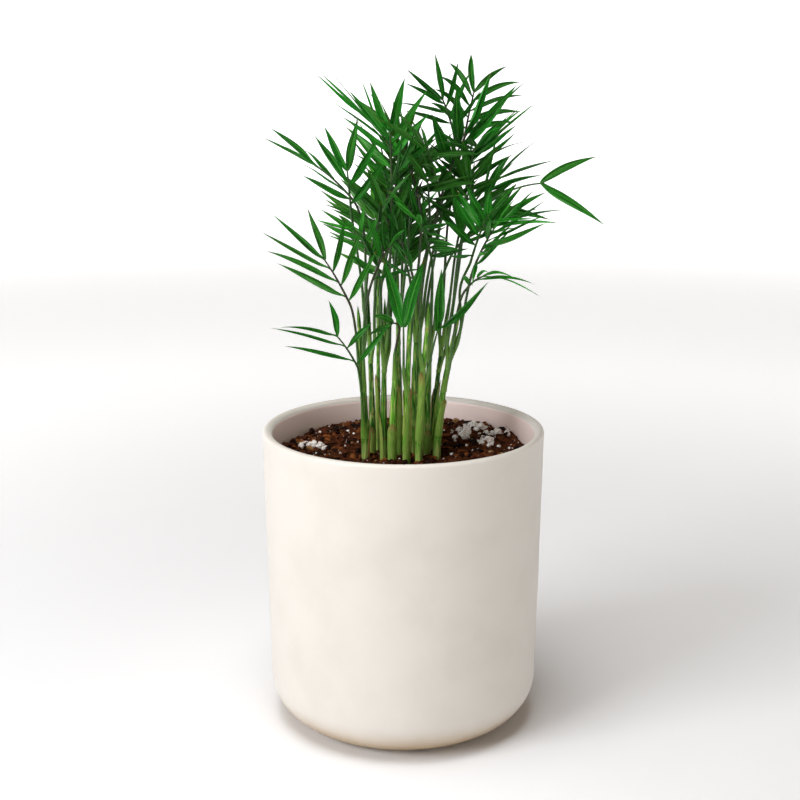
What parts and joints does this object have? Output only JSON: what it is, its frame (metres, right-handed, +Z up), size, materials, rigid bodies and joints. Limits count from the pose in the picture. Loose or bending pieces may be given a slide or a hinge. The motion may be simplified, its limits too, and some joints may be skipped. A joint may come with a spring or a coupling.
{
  "type": "potted palm",
  "caption": "Clump of young parlour palms with feather fronds on slender canes, growing from potting mix in a plain off-white ceramic cylinder pot with a rounded foot.",
  "frame": {"origin": "middle of the pot's flat underside, on the surface the pot stands on", "axes": "+Z up along the pot's axis, -Y is the front, +X is to the right seen from the front"},
  "size_m": [0.2329, 0.2035, 0.474],
  "materials": {
    "pot": "satin",
    "mix": "matte",
    "perlite": "matte",
    "cane": "satin",
    "leaf": "satin"
  },
  "bodies": {
    "root": {"cane_01": "cane", "cane_02": "cane", "cane_03": "cane", "cane_04": "cane", "cane_05": "cane", "cane_06": "cane", "cane_07": "cane", "cane_08": "cane", "cane_09": "cane", "cane_10": "cane", "cane_11": "cane", "cane_12": "cane", "cane_13": "cane", "frond_01": "leaf", "frond_02": "leaf", "frond_03": "leaf", "frond_04": "leaf", "frond_05": "leaf", "frond_06": "leaf", "frond_07": "leaf", "frond_08": "leaf", "frond_09": "leaf", "frond_10": "leaf", "frond_11": "leaf", "frond_12": "leaf", "frond_13": "leaf", "frond_14": "leaf", "frond_15": "leaf", "frond_16": "leaf", "frond_17": "leaf", "frond_18": "leaf", "frond_19": "leaf", "frond_20": "leaf", "frond_21": "leaf", "frond_22": "leaf", "frond_23": "leaf", "frond_24": "leaf", "frond_25": "leaf", "frond_26": "leaf", "frond_27": "leaf", "frond_28": "leaf", "frond_29": "leaf", "frond_30": "leaf", "frond_31": "leaf", "frond_32": "leaf", "frond_33": "leaf", "frond_34": "leaf", "frond_35": "leaf", "frond_36": "leaf", "frond_37": "leaf", "frond_38": "leaf", "frond_39": "leaf", "frond_40": "leaf", "perlite_1": "perlite", "perlite_2": "perlite", "perlite_3": "perlite", "perlite_4": "perlite", "perlite_5": "perlite", "pot": "pot", "potting_mix": "mix"}
  },
  "joints": []
}
